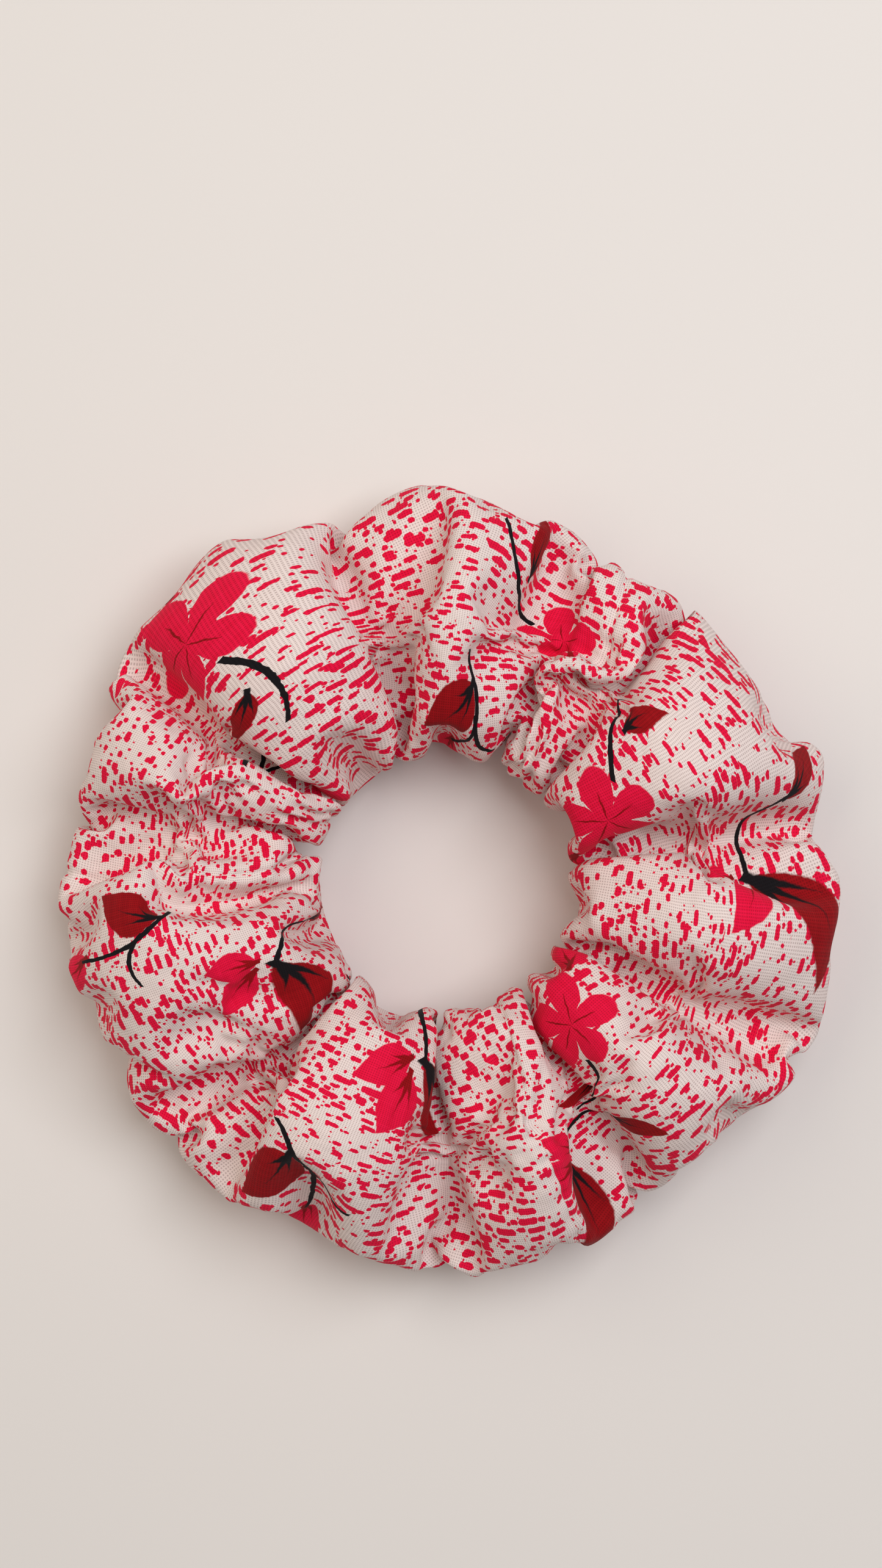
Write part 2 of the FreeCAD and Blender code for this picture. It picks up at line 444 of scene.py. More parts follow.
def body_columns(gathers, columns):
    """The cloth column at the middle of each body, from the closing seam round to it again."""
    middles = []
    for start, end in zip(SEAM_AZIMUTHS, SEAM_AZIMUTHS[1:]):
        middles += [start + (end - start) * k / SPANS for k in range(SPANS)]
    middles.append(SEAM_AZIMUTHS[-1])
    return [round(columns * float(gathers.u_at(a))) for a in middles]


def blend_by_column(obj, number):
    """obj stretches between two neighbouring bodies, evenly along its own cloth."""
    mesh = obj.data
    share = read_attribute(mesh, "along")
    points = read_points(mesh)
    ends = [points[np.argmin(np.abs(share - x))] for x in (0, 1)]
    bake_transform(obj, BODIES[number], BODIES[number + 1], start=ends[0], end=ends[1])
    mesh.attributes["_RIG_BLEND"].data.foreach_set("value", np.asarray(share, np.float32))
    mesh.attributes.remove(mesh.attributes["along"])


def keep_smooth_normals(mesh):
    """Custom normals from the whole cloth, so that neighbouring pieces meet without a line."""
    wanted = unit(read_attribute(mesh, "cloth_normal", 3))
    corner_point = np.empty(len(mesh.loops), np.int32)
    mesh.loops.foreach_get("vertex_index", corner_point)
    sizes = np.empty(len(mesh.polygons), np.int32)
    mesh.polygons.foreach_get("loop_total", sizes)
    facing = np.empty(len(mesh.polygons) * 3, np.float32)
    mesh.polygons.foreach_get("normal", facing)
    face_normal = np.repeat(facing.reshape(-1, 3), sizes, axis=0)
    corner = wanted[corner_point]
    agree = (corner * face_normal).sum(1)
    result = np.where(agree[:, None] > 0.2, corner, np.where(agree[:, None] < -0.2, -corner, face_normal))
    mesh.normals_split_custom_set(result)
    mesh.attributes.remove(mesh.attributes["cloth_normal"])


def cloth_piece(name, grid, normals, first, last):
    """One length of the tube: a flat grid rolled up, its long edges joined along the side seam."""
    cloth = settings()
    columns, rows = grid.shape[:2]
    side_row = round(SIDE_SEAM_TURN * rows)
    deselect_all()
    bpy.ops.mesh.primitive_grid_add(x_subdivisions=last - first, y_subdivisions=rows, size=1)
    obj = bpy.context.object
    obj.name = obj.data.name = name
    mesh = obj.data
    flat = read_points(mesh)
    i = np.rint((flat[:, 0] + 0.5) * (last - first)).astype(int)
    j = np.rint((flat[:, 1] + 0.5) * rows).astype(int)
    column, row = (first + i) % columns, (side_row + j) % rows
    write_points(mesh, grid[column, row])
    write_attribute(mesh, "along", "FLOAT", i / (last - first))
    write_attribute(mesh, "cloth_normal", "FLOAT_VECTOR", normals[column, row])
    place = np.stack([(first + i) / columns * cloth.length, j / rows * cloth.girth], 1)
    corner_point = np.empty(len(mesh.loops), np.int32)
    mesh.loops.foreach_get("vertex_index", corner_point)
    mesh.uv_layers[0].data.foreach_set("uv", place[corner_point].astype(np.float32).ravel())
    merge_doubles(obj)
    apply_modifier(obj, "SOLIDIFY", thickness=cloth.thickness, offset=-1, use_even_offset=False)
    smooth_shade(obj)
    keep_smooth_normals(mesh)
    return obj


# --- Node trees -------------------------------------------------------------------------------------
class Net:
    """Builds one node tree. A value may be a number, a tuple or another node's output."""

    def __init__(self, tree):
        self.tree = tree

    def add(self, kind, inputs=(), **values):
        node = self.tree.nodes.new("ShaderNode" + kind)
        for name, value in values.items():
            setattr(node, name, value)
        pairs = inputs.items() if isinstance(inputs, dict) else enumerate(inputs)
        for key, value in pairs:
            if isinstance(value, bpy.types.NodeSocket):
                self.tree.links.new(value, node.inputs[key])
            elif value is not None:
                node.inputs[key].default_value = value
        return node

    def math(self, operation, *values, clamp=False):
        return self.add("Math", values, operation=operation, use_clamp=clamp).outputs[0]

    def vector(self, operation, *values):
        node = self.add("VectorMath", values, operation=operation)
        return node.outputs["Value" if operation in ("LENGTH", "DOT_PRODUCT") else "Vector"]

    def scaled(self, vector, factor):
        return self.add("VectorMath", {0: vector, "Scale": factor}, operation="SCALE").outputs[0]

    def split(self, vector):
        return self.add("SeparateXYZ", (vector,)).outputs[:3]

    def joined(self, x, y, z=0.0):
        return self.add("CombineXYZ", (x, y, z)).outputs[0]

    def fade(self, value, zero, one, low=0.0, high=1.0):
        """low where value is zero, high where it is one, and smooth between."""
        keys = {"Value": value, "From Min": zero, "From Max": one, "To Min": low, "To Max": high}
        return self.add("MapRange", keys, interpolation_type="SMOOTHSTEP").outputs[0]

    def noise(self, vector, scale, detail=2.0, rough=0.5):
        return self.add("TexNoise", {"Vector": vector, "Scale": scale, "Detail": detail, "Roughness": rough})

    def mix(self, share, a, b):
        node = self.add("Mix", {0: share}, data_type="RGBA")
        for socket, value in ((node.inputs[6], a), (node.inputs[7], b)):
            if isinstance(value, bpy.types.NodeSocket):
                self.tree.links.new(value, socket)
            else:
                socket.default_value = value
        return node.outputs[2]

    def group(self, name, inputs):
        node = self.add("Group")
        node.node_tree = bpy.data.node_groups[name]
        for key, value in inputs.items():
            if isinstance(value, bpy.types.NodeSocket):
                self.tree.links.new(value, node.inputs[key])
            else:
                node.inputs[key].default_value = value
        return node.outputs


def new_group(name, inputs, outputs):
    """A shader group with named sockets. Returns its net, its inputs by name, and a function that ends it."""
    tree = bpy.data.node_groups.new(name, "ShaderNodeTree")
    for label, kind, value in inputs:
        socket = tree.interface.new_socket(label, in_out="INPUT", socket_type="NodeSocket" + kind)
        if value is not None:
            socket.default_value = value
    for label, kind in outputs:
        tree.interface.new_socket(label, in_out="OUTPUT", socket_type="NodeSocket" + kind)
    net = Net(tree)
    source = tree.nodes.new("NodeGroupInput").outputs
    sink = tree.nodes.new("NodeGroupOutput").inputs

    def put(**results):
        for label, value in results.items():
            tree.links.new(value, sink[label.replace("_", " ")])

    return net, source, put


def weave_group():
    """Plain weave: two sets of rounded threads that pass over and under, with open gaps at their corners."""
    net, given, put = new_group(
        "Plain Weave",
        [("Cloth", "Vector", None), ("Pitch Along", "Float", 0.0004), ("Pitch Across", "Float", 0.0003),
         ("Openness", "Float", 0.3), ("Unevenness", "Float", 0.2)],
        [("Height", "Float"), ("Gaps", "Float"), ("Tone", "Float")],
    )
    sway = net.noise(given["Cloth"], 420.0).outputs["Color"]
    sway = net.scaled(net.vector("SUBTRACT", sway, (0.5, 0.5, 0.5)), net.math("MULTIPLY", given["Unevenness"], 0.0006))
    u, v, _ = net.split(net.vector("ADD", given["Cloth"], sway))
    x = net.math("DIVIDE", u, given["Pitch Along"])
    y = net.math("DIVIDE", v, given["Pitch Across"])
    across = net.math("ABSOLUTE", net.math("SUBTRACT", net.math("FRACT", x), 0.5))
    along = net.math("ABSOLUTE", net.math("SUBTRACT", net.math("FRACT", y), 0.5))
    parity = net.math("MULTIPLY", net.math("ADD", net.math("FLOOR", x), net.math("FLOOR", y)), 0.5)
    over = net.math("MULTIPLY", net.math("FRACT", parity), 2.0)
    warp = net.fade(along, 0.5, 0.0)
    weft = net.fade(across, 0.5, 0.0)
    warp_top = net.math("MULTIPLY", warp, net.math("MULTIPLY_ADD", over, 0.5, 0.5))
    weft_top = net.math("MULTIPLY", weft, net.math("MULTIPLY_ADD", over, -0.5, 1.0))
    height = net.math("MAXIMUM", warp_top, weft_top)
    edge = net.math("SUBTRACT", 0.5, given["Openness"])
    near_corner = net.math("MINIMUM", across, along)
    # The gap mask: where the cotton paints shade into the open gaps between the threads.
    gaps = net.fade(near_corner, net.math("MULTIPLY", edge, 0.8), net.math("MULTIPLY_ADD", edge, 0.6, 0.2))
    thread = net.add("TexWhiteNoise", {"Vector": net.joined(net.math("FLOOR", x), 0.0)}, noise_dimensions="3D")
    other = net.add("TexWhiteNoise", {"Vector": net.joined(0.0, net.math("FLOOR", y), 7.0)}, noise_dimensions="3D")
    tone = net.math("MULTIPLY", net.math("ADD", thread.outputs["Value"], other.outputs["Value"]), 0.5)
    put(Height=height, Gaps=gaps, Tone=tone)


def dash_group():
    """A scatter of short round-ended dashes in rows along the cloth, one to a cell, each with its own length."""
    net, given, put = new_group(
        "Printed Dashes",
        [("Cloth", "Vector", None), ("Cell Length", "Float", 0.006), ("Row Pitch", "Float", 0.0015),
         ("Shortest", "Float", 0.001), ("Longest", "Float", 0.004), ("Half Width", "Float", 0.0003),
         ("Share", "Float", 0.6), ("Seed", "Float", 0.0)],
        [("Mask", "Float")],
    )
    ragged = net.noise(given["Cloth"], 2300.0, 1.0).outputs["Color"]
    ragged = net.scaled(net.vector("SUBTRACT", ragged, (0.5, 0.5, 0.5)), 0.0003)
    u, v, _ = net.split(net.vector("ADD", given["Cloth"], ragged))
    rows = net.math("DIVIDE", v, given["Row Pitch"])
    row = net.math("FLOOR", rows)
    up = net.math("MULTIPLY", net.math("SUBTRACT", net.math("FRACT", rows), 0.5), given["Row Pitch"])
    slide = net.add("TexWhiteNoise", {"Vector": net.joined(row, given["Seed"], 3.0)}, noise_dimensions="3D")
    cells = net.math("ADD", net.math("DIVIDE", u, given["Cell Length"]), slide.outputs["Value"])
    cell = net.math("FLOOR", cells)
    over = net.math("MULTIPLY", net.math("FRACT", cells), given["Cell Length"])
    draw = net.add("TexWhiteNoise", {"Vector": net.joined(cell, row, given["Seed"])}, noise_dimensions="3D")
    size, place, rise = net.split(draw.outputs["Color"])
    luck = draw.outputs["Value"]
    width = net.math("MULTIPLY", given["Half Width"], net.math("MULTIPLY_ADD", luck, 0.7, 0.75))
    spare = net.math("SUBTRACT", given["Longest"], given["Shortest"])
    half = net.math("MULTIPLY", net.math("MULTIPLY_ADD", net.math("POWER", size, 1.6), spare, given["Shortest"]), 0.5)
    margin = net.math("ADD", half, width)
    room = net.math("SUBTRACT", given["Cell Length"], net.math("MULTIPLY", margin, 2.0))
    middle = net.math("MULTIPLY_ADD", place, room, margin)
    lift = net.math("MULTIPLY", net.math("SUBTRACT", rise, 0.5), net.math("MULTIPLY", given["Row Pitch"], 0.3))
    sideways = net.math("SUBTRACT", net.math("ABSOLUTE", net.math("SUBTRACT", over, middle)), half)
    sideways = net.math("MAXIMUM", sideways, 0.0)
    distance = net.vector("LENGTH", net.joined(sideways, net.math("SUBTRACT", up, lift)))
    ink = net.fade(distance, net.math("ADD", width, 0.00004), net.math("SUBTRACT", width, 0.00004))
    crowd = net.fade(net.noise(given["Cloth"], 75.0, 1.0).outputs[0], 0.35, 0.65, 0.72, 1.18)
    here = net.math("LESS_THAN", luck, net.math("MULTIPLY", given["Share"], crowd))
    put(Mask=net.math("MULTIPLY", ink, here))


def local_frame(net, given):
    """The motif's own coordinates: x from its foot along its length, y across, both over its length."""
    along = net.math("SUBTRACT", given["Along"], given["Foot Along"])
    across = net.math("SUBTRACT", given["Across"], given["Foot Across"])
    cosine, sine = net.math("COSINE", given["Turn"]), net.math("SINE", given["Turn"])
    x = net.math("ADD", net.math("MULTIPLY", along, cosine), net.math("MULTIPLY", across, sine))
    y = net.math("SUBTRACT", net.math("MULTIPLY", across, cosine), net.math("MULTIPLY", along, sine))
    return net.math("DIVIDE", x, given["Length"]), net.math("DIVIDE", y, given["Length"])


def edge_of(net, inside, softness=0.012):
    """1 where inside is above zero, 0 below, with a narrow soft edge."""
    return net.fade(inside, -softness, softness)


MOTIF_INPUTS = [
    ("Along", "Float", 0.0), ("Across", "Float", 0.0), ("Foot Along", "Float", 0.0), ("Foot Across", "Float", 0.0),
    ("Turn", "Float", 0.0), ("Length", "Float", 0.01),
]


def leaf_group():
    """A pointed leaf, bent to one side, with dark strokes from its foot."""
    net, given, put = new_group(
        "Printed Leaf", MOTIF_INPUTS + [("Width", "Float", 0.2), ("Bend", "Float", 0.1)],
        [("Mask", "Float"), ("Strokes", "Float")],
    )
    x, y = local_frame(net, given)
    inside = net.math("MULTIPLY", x, net.math("SUBTRACT", 1.0, x))
    bow = net.math("MULTIPLY", net.math("MULTIPLY", inside, 4.0), given["Bend"])
    y = net.math("SUBTRACT", y, bow)
    reach = net.math("POWER", net.math("MAXIMUM", x, 0.0), 0.75)
    full = net.math("SINE", net.math("MULTIPLY", reach, math.pi))
    half = net.math("MULTIPLY", net.math("MAXIMUM", full, 0.0), given["Width"])
    side = net.math("ABSOLUTE", y)
    within = net.math("GREATER_THAN", inside, 0.0)
    mask = net.math("MULTIPLY", edge_of(net, net.math("SUBTRACT", half, side)), within)
    strokes = None
    for slope, start, end in ((0.02, -0.05, 0.62), (0.42, 0.02, 0.42), (-0.5, 0.06, 0.36)):
        line = net.math("ABSOLUTE", net.math("SUBTRACT", y, net.math("MULTIPLY_ADD", x, slope, -slope * start)))
        taper = net.fade(x, end, start, 0.0, 0.05)
        stroke = net.math("MULTIPLY", edge_of(net, net.math("SUBTRACT", taper, line)), net.math("GREATER_THAN", x, start))
        stroke = net.math("MULTIPLY", stroke, net.math("LESS_THAN", x, end))
        strokes = stroke if strokes is None else net.math("MAXIMUM", strokes, stroke)
    put(Mask=mask, Strokes=strokes)


def blossom_group():
    """A flower seen from the front: round petals about a middle, with darker strokes out of it."""
    net, given, put = new_group(
        "Printed Blossom", MOTIF_INPUTS + [("Petals", "Float", 5.0)], [("Mask", "Float"), ("Strokes", "Float")]
    )
    x, y = local_frame(net, given)
    radius = net.math("SQRT", net.math("ADD", net.math("MULTIPLY", x, x), net.math("MULTIPLY", y, y)))
    angle = net.math("ARCTAN2", y, x)
    wave = net.math("COSINE", net.math("MULTIPLY", angle, net.math("MULTIPLY", given["Petals"], 0.5)))
    petal = net.math("POWER", net.math("ABSOLUTE", wave), 0.6)
    outline = net.math("MULTIPLY_ADD", petal, 0.72, 0.28)
    mask = edge_of(net, net.math("SUBTRACT", outline, radius), 0.02)
    narrow = net.math("SUBTRACT", 0.24, net.math("MULTIPLY", radius, 0.42))
    across = net.math("ABSOLUTE", net.math("SINE", net.math("MULTIPLY", angle, net.math("MULTIPLY", given["Petals"], 0.5))))
    streak = edge_of(net, net.math("SUBTRACT", net.math("MULTIPLY", narrow, 1.2), across), 0.05)
    strokes = net.math("MULTIPLY", streak, net.math("LESS_THAN", radius, 0.55))
    put(Mask=mask, Strokes=strokes)


def stem_group():
    """A thin curved line of ink that narrows to its tip."""
    net, given, put = new_group(
        "Printed Stem", MOTIF_INPUTS + [("Bend", "Float", 0.1), ("Width", "Float", 0.0008)], [("Mask", "Float")]
    )
    x, y = local_frame(net, given)
    inside = net.math("MULTIPLY", x, net.math("SUBTRACT", 1.0, x))
    y = net.math("SUBTRACT", y, net.math("MULTIPLY", net.math("MULTIPLY", inside, 4.0), given["Bend"]))
    away = net.math("MULTIPLY", net.math("ABSOLUTE", y), given["Length"])
    half = net.math("MULTIPLY", given["Width"], net.math("MULTIPLY_ADD", x, -0.2, 0.6))
    line = net.fade(away, net.math("ADD", half, 0.00004), net.math("SUBTRACT", half, 0.00004))
    put(Mask=net.math("MULTIPLY", line, net.math("GREATER_THAN", inside, 0.0)))


def braid_group():
    """Flat braid: cords that cross at a slant, in rows along the band, with a painted shade that is darker in the
    grooves between them.
    """
    net, given, put = new_group(
        "Braid", [("Band", "Vector", None), ("Cord Width", "Float", 0.00075)], [("Height", "Float"), ("Shade", "Float")]
    )
    along, across, _ = net.split(given["Band"])
    lane = net.math("DIVIDE", across, given["Cord Width"])
    side = net.math("MULTIPLY", net.math("FRACT", net.math("MULTIPLY", net.math("FLOOR", lane), 0.5)), 4.0)
    lean = net.math("SUBTRACT", side, 1.0)
    slant = net.math("MULTIPLY", net.math("SUBTRACT", net.math("FRACT", lane), 0.5), lean)
    step = net.math("FRACT", net.math("ADD", net.math("DIVIDE", along, 0.0011), slant))
    bump = net.math("SINE", net.math("MULTIPLY", step, math.pi))
    rib = net.math("SINE", net.math("MULTIPLY", net.math("FRACT", lane), math.pi))
    height = net.math("MULTIPLY", net.math("POWER", rib, 0.6), net.math("MULTIPLY_ADD", bump, 0.5, 0.5))
    # Shade: painted shade, low where the braid's grooves lie between its cords.
    put(Height=height, Shade=net.fade(height, 0.15, 0.6))


# --- The print --------------------------------------------------------------------------------------
# The sprays that the print repeats. Each motif: what it is, where its foot is in the spray, along and up in
# millimetres, its turn in degrees, its length in millimetres, and its bend or number of petals.
SPRAYS = (
    (  # a long leaf over two petals, with a stem that ends in a small leaf
        ("leaf", 0, 0, 20, 19, 0.16),
        ("petal", 1, -3, -35, 12, 0.06),
        ("petal", -1, -3, -80, 10, 0.0),
        ("stem", 0, 0, 150, 16, 0.15),
        ("leaf", -13, 7, 110, 9, 0.1),
    ),
    (  # an open flower on its stem
        ("blossom", 0, 0, 10, 8, 5),
        ("petal", 3, 8, 70, 10, 0.0),
        ("stem", 0, -6, -100, 18, 0.12),
        ("leaf", -2, -14, -150, 10, 0.1),
    ),
    (  # a branch with buds
        ("stem", -10, 0, 0, 22, 0.15),
        ("stem", 0, 3, 50, 9, -0.25),
        ("petal", 11, 0, 0, 10, 0.0),
        ("broad leaf", -4, 2, -50, 12, 0.1),
    ),
)
SPRAY_STEP = 22.0  # millimetres along the cloth from one spray to the next
SPRAY_ROWS = (28, 56, 90)  # their heights round it, taken in turn
SPRAY_SHIFT = 4.0  # and the most that one is moved off its place
LEAF_WIDTHS = {"leaf": 0.21, "broad leaf": 0.34, "petal": 0.3}  # half of it, over its length


def panel_motifs(panel):
    """A panel's sprays, in turn along it, each turned and moved a little. Places are on the whole tube."""
    number = PANELS.index(panel)
    draw = np.random.default_rng(11 + number)
    panel_length = settings().length / MM / len(PANELS)
    motifs = []
    for step, along in enumerate(np.arange(SPRAY_STEP / 2, panel_length, SPRAY_STEP)):
        shift_along, shift_up = draw.uniform(-SPRAY_SHIFT, SPRAY_SHIFT, 2)
        lean = draw.uniform(0, 360)
        cosine, sine = math.cos(math.radians(lean)), math.sin(math.radians(lean))
        foot_along = panel_length * number + along + shift_along
        foot_up = SPRAY_ROWS[step % len(SPRAY_ROWS)] + shift_up
        for kind, x, y, turn, length, shape in SPRAYS[(step + number) % len(SPRAYS)]:
            place = (foot_along + cosine * x - sine * y, foot_up + sine * x + cosine * y)
            motifs.append((kind, *place, turn + lean, length, shape))
    return motifs


def comes_between(motif, start, end):
    """Whether a motif reaches the cloth from start to end, in millimetres along the tube."""
    kind, along, _, turn, length, _ = motif
    reach = 0 if kind == "blossom" else length / 2 * math.cos(math.radians(turn))
    room = length if kind == "blossom" else abs(reach) + 0.4 * length
    return start - room < along + reach < end + room


def print_motifs(net, cloth, motifs):
    """The masks of these motifs: flowers, flower strokes, leaves, and black line work."""
    masks = {"flower": None, "shade": None, "leaf": None, "line": None}

    def gather(name, mask):
        masks[name] = mask if masks[name] is None else net.math("MAXIMUM", masks[name], mask)

    wander = net.noise(cloth, 900.0, 1.0).outputs["Color"]
    wandering = net.vector("ADD", cloth, net.scaled(net.vector("SUBTRACT", wander, (0.5, 0.5, 0.5)), 0.0004))
    here_along, here_across, _ = net.split(wandering)
    for kind, along, across, turn, length, shape in motifs:
        common = {
            "Along": here_along,
            "Across": here_across,
            "Foot Along": along * MM,
            "Foot Across": across * MM,
            "Turn": math.radians(turn),
            "Length": length * MM,
        }
        if kind in LEAF_WIDTHS:
            made = net.group("Printed Leaf", {**common, "Bend": shape, "Width": LEAF_WIDTHS[kind]})
            gather("flower" if kind == "petal" else "leaf", made["Mask"])
            gather("shade" if kind == "petal" else "line", made["Strokes"])
        elif kind == "blossom":
            made = net.group("Printed Blossom", {**common, "Petals": float(shape)})
            gather("flower", made["Mask"])
            gather("shade", made["Strokes"])
        else:
            gather("line", net.group("Printed Stem", {**common, "Bend": shape})["Mask"])
    return masks


DASH_LAYERS = (  # cell length, row pitch, shortest, longest, half width, share, all lengths in millimetres
    (5.2, 1.70, 0.8, 3.3, 0.40, 0.84),
    (2.9, 1.50, 0.3, 1.2, 0.37, 0.66),
    (1.9, 1.25, 0.0, 0.4, 0.31, 0.42),
    (1.3, 0.95, 0.0, 0.2, 0.21, 0.25),
)


def cotton_material(panel, number, start, end):
    """The printed cotton of a panel from start to end, in millimetres: weave with painted shade in its open gaps,
    dashes, motifs and a soft surface.
    """
    look = bpy.context.scene.scrunchie_print
    motifs = [motif for motif in panel_motifs(panel) if comes_between(motif, start, end)]
    material = bpy.data.materials.new(f"printed_cotton_{panel}_{number}")
    material.use_nodes = True
    net = Net(material.node_tree)
    shader = material.node_tree.nodes["Principled BSDF"]
    cloth = net.add("UVMap").outputs[0]

    weave = net.group("Plain Weave", {"Cloth": cloth, "Pitch Along": look.pitch_along, "Pitch Across": look.pitch_across})
    dashes = None
    for number, (cell, pitch, shortest, longest, half, share) in enumerate(DASH_LAYERS):
        layer = net.group("Printed Dashes", {
            "Cloth": cloth, "Cell Length": cell * MM, "Row Pitch": pitch * MM, "Shortest": shortest * MM,
            "Longest": longest * MM, "Half Width": half * MM, "Share": share,
            "Seed": 10.0 * PANELS.index(panel) + number,
        })["Mask"]
        dashes = layer if dashes is None else net.math("MAXIMUM", dashes, layer)
    masks = print_motifs(net, cloth, motifs)

    mottle = net.noise(cloth, 130.0, 3.0).outputs[0]
    ground = net.mix(mottle, (*look.ground, 1), (*look.ground_shade, 1))
    ground = net.mix(net.math("MULTIPLY", weave["Tone"], 0.12), ground, (*look.ground_dark, 1))
    ink_tone = net.math("MULTIPLY_ADD", weave["Tone"], 0.5, 0.25)
    colour = net.mix(dashes, ground, net.mix(ink_tone, (*look.dash, 1), (*look.dash_shade, 1)))
    for name, first, second in (("flower", look.flower, look.dash_shade), ("shade", look.leaf, look.leaf_shade),
                                ("leaf", look.leaf, look.leaf_shade), ("line", look.line, look.line)):
        if masks[name] is not None:
            colour = net.mix(masks[name], colour, net.mix(ink_tone, (*first, 1), (*second, 1)))
    # Painted shade: the open gaps between the threads are darkened towards the gap colour, standing in for the shade
    # inside them.
    gaps = net.math("MULTIPLY", weave["Gaps"], look.gap_shade_depth)
    colour = net.mix(gaps, colour, net.vector("MULTIPLY", colour, tuple(look.gap)))
    material.node_tree.links.new(colour, shader.inputs["Base Color"])

    crumple = net.noise(cloth, 300.0, 3.0, 0.55).outputs[0]
    weave_bump = net.add("Bump", {"Height": weave["Height"], "Strength": 0.15, "Distance": 0.0001})
    bump = net.add("Bump", {"Height": crumple, "Strength": 0.35, "Distance": 0.0009, "Normal": weave_bump.outputs[0]})
    material.node_tree.links.new(bump.outputs[0], shader.inputs["Normal"])
    rough = net.math("MULTIPLY_ADD", weave["Tone"], 0.12, 0.78)
    material.node_tree.links.new(rough, shader.inputs["Roughness"])
    shader.inputs["Sheen Weight"].default_value = 0.03
    shader.inputs["Sheen Roughness"].default_value = 0.5
    shader.inputs["Specular IOR Level"].default_value = 0.12
    return material


def elastic_material():
    """Off-white braided elastic, read round the ring from the object's own place."""
    material = bpy.data.materials.new("braided_elastic")
    material.use_nodes = True
    net = Net(material.node_tree)
    shader = material.node_tree.nodes["Principled BSDF"]
    x, y, z = net.split(net.add("TexCoord").outputs["Object"])
    along = net.math("MULTIPLY", net.math("ARCTAN2", y, x), ELASTIC_R)
    braid = net.group("Braid", {"Band": net.joined(along, z)})
    fuzz = net.noise(net.joined(along, z), 2500.0).outputs[0]
    # Painted shade: the braid's grooves between cords are coloured darker than its raised cords.
    colour = net.mix(braid["Shade"], (0.52, 0.5, 0.47, 1), (0.86, 0.85, 0.82, 1))
    colour = net.mix(net.math("MULTIPLY", fuzz, 0.3), colour, (0.7, 0.68, 0.64, 1))
    material.node_tree.links.new(colour, shader.inputs["Base Color"])
    bump = net.add("Bump", {"Height": braid["Height"], "Strength": 0.8, "Distance": 0.0002})
    material.node_tree.links.new(bump.outputs[0], shader.inputs["Normal"])
    material.node_tree.links.new(net.math("MULTIPLY_ADD", fuzz, 0.2, 0.6), shader.inputs["Roughness"])
    return material


def thread_material():
    """Twisted white sewing thread."""
    material = bpy.data.materials.new("sewing_thread")
    material.use_nodes = True
    net = Net(material.node_tree)
    shader = material.node_tree.nodes["Principled BSDF"]
    place = net.add("TexCoord").outputs["Object"]
    x, y, z = net.split(place)
    twist = net.math("SINE", net.math("MULTIPLY", net.math("ADD", net.math("ADD", x, y), z), 16000.0))
    grain = net.noise(place, 1800.0).outputs[0]
    colour = net.mix(net.math("MULTIPLY_ADD", twist, 0.2, 0.4), (0.9, 0.87, 0.83, 1), (0.7, 0.65, 0.61, 1))
    material.node_tree.links.new(colour, shader.inputs["Base Color"])
    bump = net.add("Bump", {"Height": twist, "Strength": 0.4, "Distance": 0.00006})
    material.node_tree.links.new(bump.outputs[0], shader.inputs["Normal"])
    material.node_tree.links.new(net.math("MULTIPLY_ADD", grain, 0.25, 0.45), shader.inputs["Roughness"])
    shader.inputs["Sheen Weight"].default_value = 0.1
    return material


# --- Elastic and stitching --------------------------------------------------------------------------
def node_radii(node):
    """The smallest and largest distance of a CAD node from the ring's axis, and its lowest and highest point."""
    points = read_points(frame["nodes"][node].data)
    r = np.hypot(points[:, 0], points[:, 1])
    return r.min(), r.max(), points[:, 2].min(), points[:, 2].max()


def node_azimuths(node):
    """The azimuths, in degrees from 180 to 540, where a CAD node starts and ends."""
    points = read_points(frame["nodes"][node].data)
    azimuth = (np.degrees(np.arctan2(points[:, 1], points[:, 0])) - 180) % 360 + 180
    return azimuth.min(), azimuth.max()


BAND_IN, BAND_OUT, BAND_LOW, BAND_HIGH = node_radii("elastic_length_5")
ELASTIC_R = (BAND_IN + BAND_OUT) / 2
LAP_START, LAP_END = node_azimuths("elastic_end_inner")
BAND_RIBS = 8
BAND_SECTION = 64


def band_section():
    """The flat braid's outline: offsets outward and up from its middle, with a rib for each cord."""
    t = 2 * math.pi * np.arange(BAND_SECTION + 1) / BAND_SECTION
    half_t, half_w = (BAND_OUT - BAND_IN) / 2, (BAND_HIGH - BAND_LOW) / 2
    rib = 0.12 * half_t * np.cos(BAND_RIBS * math.pi * np.sin(t))
    out = np.sign(np.cos(t)) * np.abs(np.cos(t)) ** 0.35 * (half_t * 0.94) + np.cos(t) * rib
    up = np.sign(np.sin(t)) * np.abs(np.sin(t)) ** 0.85 * half_w
    return out, up


